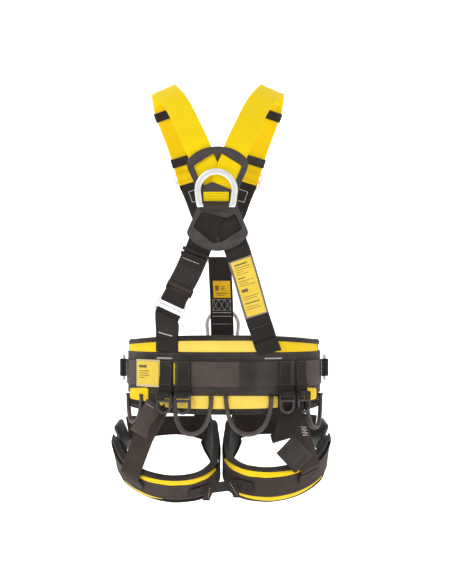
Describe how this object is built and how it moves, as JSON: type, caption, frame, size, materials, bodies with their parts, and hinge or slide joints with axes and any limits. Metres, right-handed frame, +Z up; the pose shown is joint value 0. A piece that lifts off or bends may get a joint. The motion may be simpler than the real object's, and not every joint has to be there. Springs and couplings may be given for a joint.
{
  "type": "safety harness",
  "caption": "Full-body work harness with padded waist belt and leg loops, crossing shoulder straps on a back plate, metal attachment rings, gear loops and tool loops.",
  "frame": {"origin": "between the tops of the two shoulder straps, where the wearer's shoulders hold the harness", "axes": "+Z up; the wearer faces +Y, so the back of the harness faces -Y; +X is the wearer's right"},
  "size_m": [0.4054, 0.2914, 0.7664],
  "materials": {
    "yellow_webbing": "woven polyester webbing, saturated yellow",
    "black_webbing": "woven polyester webbing, black",
    "brown_webbing": "woven polyester webbing, brown-black",
    "pad_fabric": "padded textile with bound edges, black and yellow",
    "plate_plastic": "moulded dark grey plastic",
    "loop_plastic": "moulded taupe-black plastic",
    "bright_metal": "polished forged metal",
    "orange_tag": null
  },
  "bodies": {
    "root": {"attachment_tag": "orange_tag", "back_buckle": "bright_metal", "back_plate": "plate_plastic", "back_plate_cover": "plate_plastic", "back_strap_left": "black_webbing", "back_strap_right": "black_webbing", "chest_strap_left": "black_webbing", "chest_strap_right": "black_webbing", "crotch_bridge": "black_webbing", "dorsal_sleeve": "yellow_webbing", "front_riser_left": "black_webbing", "front_riser_right": "black_webbing", "leg_buckle_left": "plate_plastic", "leg_buckle_right": "plate_plastic", "leg_pad_left": "pad_fabric", "leg_pad_right": "pad_fabric", "leg_strap_left": "brown_webbing", "leg_strap_right": "brown_webbing", "seat_strap_left": "black_webbing", "seat_strap_right": "black_webbing", "shoulder_adjuster_left": "bright_metal", "shoulder_adjuster_right": "bright_metal", "shoulder_strap_left": "yellow_webbing", "shoulder_strap_right": "yellow_webbing", "side_anchor_left": "black_webbing", "side_anchor_right": "black_webbing", "sternal_connector": "bright_metal", "sternal_strap": "brown_webbing", "tool_hanger_1": "black_webbing", "tool_hanger_2": "black_webbing", "tool_hanger_3": "black_webbing", "tool_hanger_4": "black_webbing", "ventral_sleeve": "black_webbing", "waist_backing": "black_webbing", "waist_buckle": "bright_metal", "waist_link_strap": "black_webbing", "waist_pad": "pad_fabric", "waist_webbing": "brown_webbing"},
    "dorsal_ring": {"dorsal_ring": "bright_metal"},
    "ventral_ring": {"ventral_ring": "bright_metal"},
    "side_ring_left": {"side_ring_left": "bright_metal"},
    "side_ring_right": {"side_ring_right": "bright_metal"},
    "tool_loop_1": {"tool_loop_1": "loop_plastic"},
    "tool_loop_2": {"tool_loop_2": "loop_plastic"},
    "tool_loop_3": {"tool_loop_3": "loop_plastic"},
    "tool_loop_4": {"tool_loop_4": "loop_plastic"},
    "gear_loop_left_side": {"gear_loop_left_side": "loop_plastic"},
    "gear_loop_left_back": {"gear_loop_left_back": "loop_plastic"},
    "gear_loop_right_back": {"gear_loop_right_back": "loop_plastic"},
    "gear_loop_right_side": {"gear_loop_right_side": "loop_plastic"},
    "shoulder_keeper_upper_left": {"shoulder_keeper_upper_left": "black_webbing"},
    "shoulder_keeper_lower_left": {"shoulder_keeper_lower_left": "black_webbing"},
    "shoulder_keeper_upper_right": {"shoulder_keeper_upper_right": "black_webbing"},
    "shoulder_keeper_lower_right": {"shoulder_keeper_lower_right": "black_webbing"},
    "back_strap_keeper": {"back_strap_keeper": "black_webbing"},
    "leg_buckle_latch_left": {"leg_buckle_latch_left": "bright_metal"},
    "leg_buckle_latch_right": {"leg_buckle_latch_right": "bright_metal"},
    "waist_buckle_tongue": {"waist_buckle_tongue": "bright_metal"}
  },
  "joints": [
    {"name": "dorsal_ring_swing", "type": "hinge", "parent": "root", "child": "dorsal_ring", "pos_m": [-0.01, -0.13911, -0.211], "axis": [1, 0, 0], "range_deg": [0, 165]},
    {"name": "ventral_ring_swing", "type": "hinge", "parent": "root", "child": "ventral_ring", "pos_m": [0.001, 0.1379, -0.468], "axis": [-1, 0, 0], "range_deg": [0, 120]},
    {"name": "side_ring_left_swing", "type": "hinge", "parent": "root", "child": "side_ring_left", "pos_m": [-0.18231, 0, -0.503], "axis": [0, 0, 1], "range_deg": [0, 110]},
    {"name": "side_ring_right_swing", "type": "hinge", "parent": "root", "child": "side_ring_right", "pos_m": [0.19031, 0, -0.503], "axis": [0, 0, -1], "range_deg": [0, 110]},
    {"name": "tool_loop_1_swing", "type": "hinge", "parent": "root", "child": "tool_loop_1", "pos_m": [-0.10309, -0.11487, -0.547], "axis": [-0.8983, 0.4393, 0], "range_deg": [0, 80]},
    {"name": "tool_loop_2_swing", "type": "hinge", "parent": "root", "child": "tool_loop_2", "pos_m": [-0.06968, -0.12789, -0.547], "axis": [-0.9576, 0.288, 0], "range_deg": [0, 80]},
    {"name": "tool_loop_3_swing", "type": "hinge", "parent": "root", "child": "tool_loop_3", "pos_m": [0.11633, -0.11221, -0.547], "axis": [-0.8852, -0.4653, 0], "range_deg": [0, 80]},
    {"name": "tool_loop_4_swing", "type": "hinge", "parent": "root", "child": "tool_loop_4", "pos_m": [0.1469, -0.09208, -0.547], "axis": [-0.7728, -0.6346, 0], "range_deg": [0, 80]},
    {"name": "gear_loop_left_side_lift", "type": "hinge", "parent": "root", "child": "gear_loop_left_side", "pos_m": [-0.15816, -0.04971, -0.5488], "axis": [-0.516, 0.8566, 0], "range_deg": [0, 60]},
    {"name": "gear_loop_left_back_lift", "type": "hinge", "parent": "root", "child": "gear_loop_left_back", "pos_m": [-0.0525, -0.11857, -0.5488], "axis": [-0.9727, 0.232, 0], "range_deg": [0, 7]},
    {"name": "gear_loop_right_back_lift", "type": "hinge", "parent": "root", "child": "gear_loop_right_back", "pos_m": [0.0475, -0.12025, -0.5488], "axis": [-0.984, -0.1781, 0], "range_deg": [0, 75]},
    {"name": "gear_loop_right_side_lift", "type": "hinge", "parent": "root", "child": "gear_loop_right_side", "pos_m": [0.16682, -0.04741, -0.5488], "axis": [-0.4966, -0.868, 0], "range_deg": [0, 45]},
    {"name": "shoulder_keeper_upper_left_slide", "type": "slide", "parent": "root", "child": "shoulder_keeper_upper_left", "axis": [0.3193, 0.2759, -0.9066], "range_m": [-0.003, 0.006]},
    {"name": "shoulder_keeper_lower_left_slide", "type": "slide", "parent": "root", "child": "shoulder_keeper_lower_left", "axis": [0.2651, 0.2059, -0.942], "range_m": [-0.006, 0.001]},
    {"name": "shoulder_keeper_upper_right_slide", "type": "slide", "parent": "root", "child": "shoulder_keeper_upper_right", "axis": [-0.3193, 0.2759, -0.9066], "range_m": [-0.003, 0.006]},
    {"name": "shoulder_keeper_lower_right_slide", "type": "slide", "parent": "root", "child": "shoulder_keeper_lower_right", "axis": [-0.2651, 0.2059, -0.942], "range_m": [-0.006, 0.001]},
    {"name": "back_keeper_slide", "type": "slide", "parent": "root", "child": "back_strap_keeper", "axis": [0.4081, -0.0623, 0.9108], "range_m": [-0.002, 0.0025]},
    {"name": "leg_latch_left_open", "type": "hinge", "parent": "root", "child": "leg_buckle_latch_left", "pos_m": [-0.18577, 0.05006, -0.62534], "axis": [0.2921, 0.3624, -0.8851], "range_deg": [0, 40], "stiffness_Nm_per_rad": 0.05},
    {"name": "leg_latch_right_open", "type": "hinge", "parent": "root", "child": "leg_buckle_latch_right", "pos_m": [0.18386, 0.04992, -0.6232], "axis": [0.2773, -0.3687, 0.8872], "range_deg": [0, 40], "stiffness_Nm_per_rad": 0.05},
    {"name": "waist_tongue_tilt", "type": "hinge", "parent": "root", "child": "waist_buckle_tongue", "pos_m": [0.11221, 0.10518, -0.5098], "axis": [0, 0, 1], "range_deg": [0, 35]}
  ]
}
